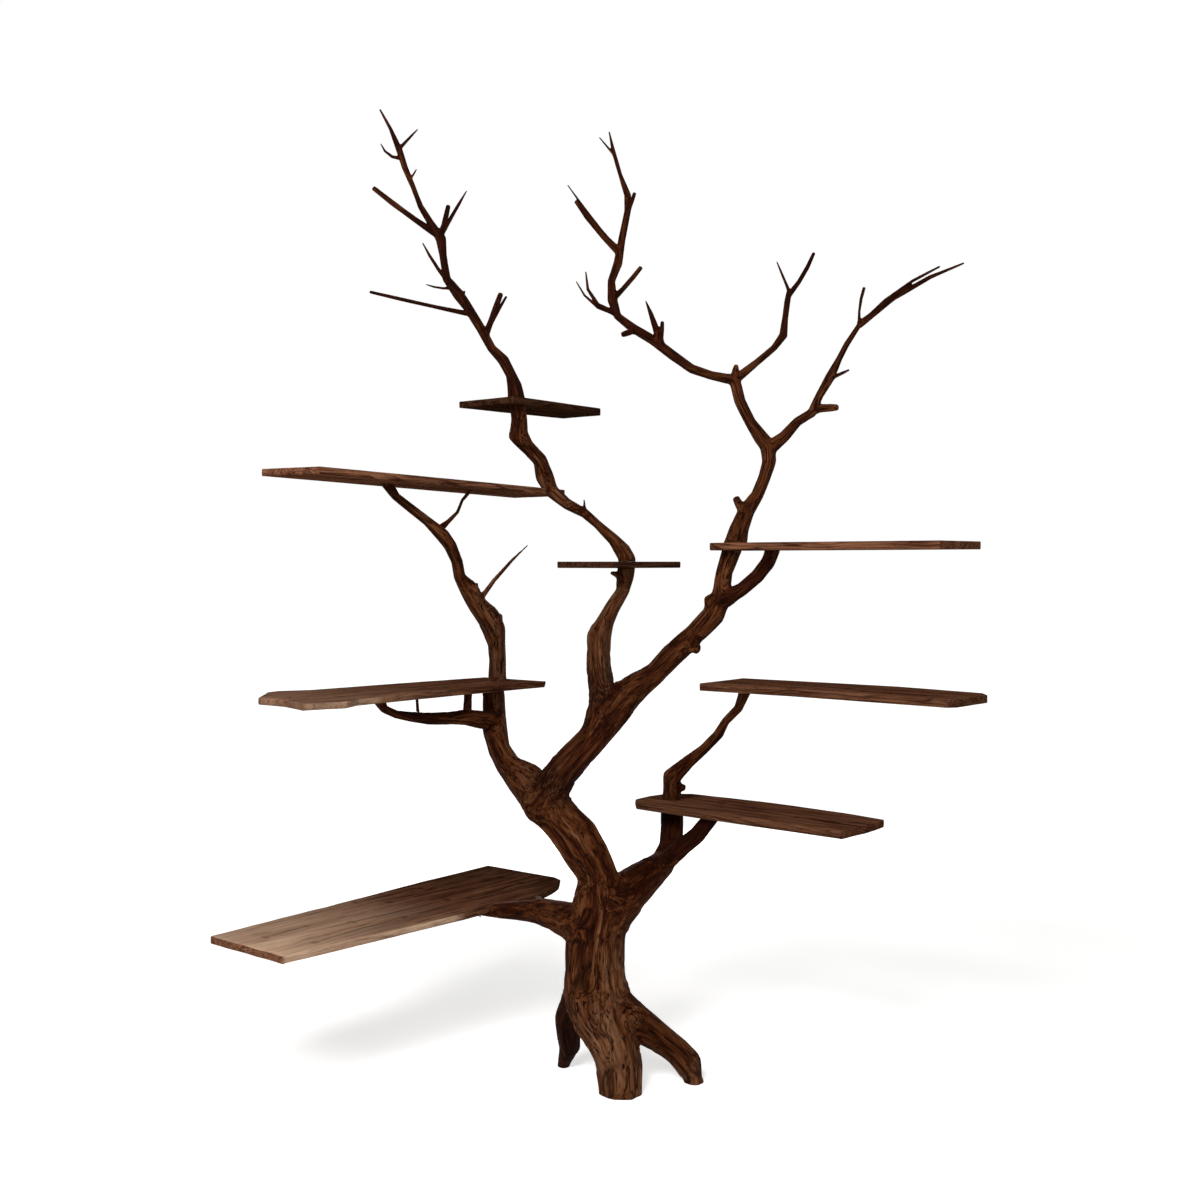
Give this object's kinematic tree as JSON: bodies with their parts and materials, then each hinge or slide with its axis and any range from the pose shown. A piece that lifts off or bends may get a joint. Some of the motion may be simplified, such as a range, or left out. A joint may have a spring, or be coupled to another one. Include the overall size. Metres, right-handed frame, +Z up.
{
  "type": "tree shaped bookshelf",
  "caption": "Free-standing corner bookshelf shaped like a bare tree: a crooked wooden trunk on splayed feet forks into limbs that carry flat plank shelves along two walls.",
  "frame": {"origin": "middle of the front foot's cut face, on the floor", "axes": "+Z up; +X runs along the right wall and +Y along the left wall, into the corner, so that the pictured front is seen from azimuth 40 degrees"},
  "size_m": [1.4651, 1.29, 2.3675],
  "materials": {
    "limb_wood": "dark walnut stained natural branch wood, dried, satin",
    "board_wood": "brown stained sawn plank, satin varnish",
    "dowel_wood": "bare beech dowel, hidden",
    "screw_steel": "plain steel wood screw"
  },
  "bodies": {
    "root": {"trunk": "limb_wood", "left_root": "limb_wood", "right_root": "limb_wood", "left_limb": "limb_wood", "bracket_branch": "limb_wood", "right_limb": "limb_wood", "brace_branch": "limb_wood", "centre_limb_lower": "limb_wood", "centre_limb_upper": "limb_wood", "left_crown": "limb_wood", "right_crown": "limb_wood", "left_arm": "limb_wood", "right_arm": "limb_wood", "right_post": "limb_wood", "peg_thin": "limb_wood", "peg_thick": "limb_wood", "twig_brace": "limb_wood", "board_a": "board_wood", "board_b": "board_wood", "board_c": "board_wood", "board_d": "board_wood", "board_e": "board_wood", "board_f": "board_wood", "board_g": "board_wood", "board_h": "board_wood", "dowel_left_root": "dowel_wood", "dowel_right_root": "dowel_wood", "dowel_right_limb": "dowel_wood", "dowel_centre_limb": "dowel_wood", "dowel_bracket": "dowel_wood", "dowel_left_arm": "dowel_wood", "dowel_right_arm": "dowel_wood", "dowel_brace": "dowel_wood", "dowel_board_a": "dowel_wood", "dowel_board_c": "dowel_wood", "dowel_board_d": "dowel_wood", "dowel_board_e": "dowel_wood", "dowel_board_g": "dowel_wood", "screw_board_b": "screw_steel", "screw_board_d": "screw_steel", "screw_board_e": "screw_steel", "screw_board_f": "screw_steel", "screw_board_g": "screw_steel", "screw_board_h_arm": "screw_steel", "screw_board_h_back": "screw_steel"}
  },
  "joints": []
}
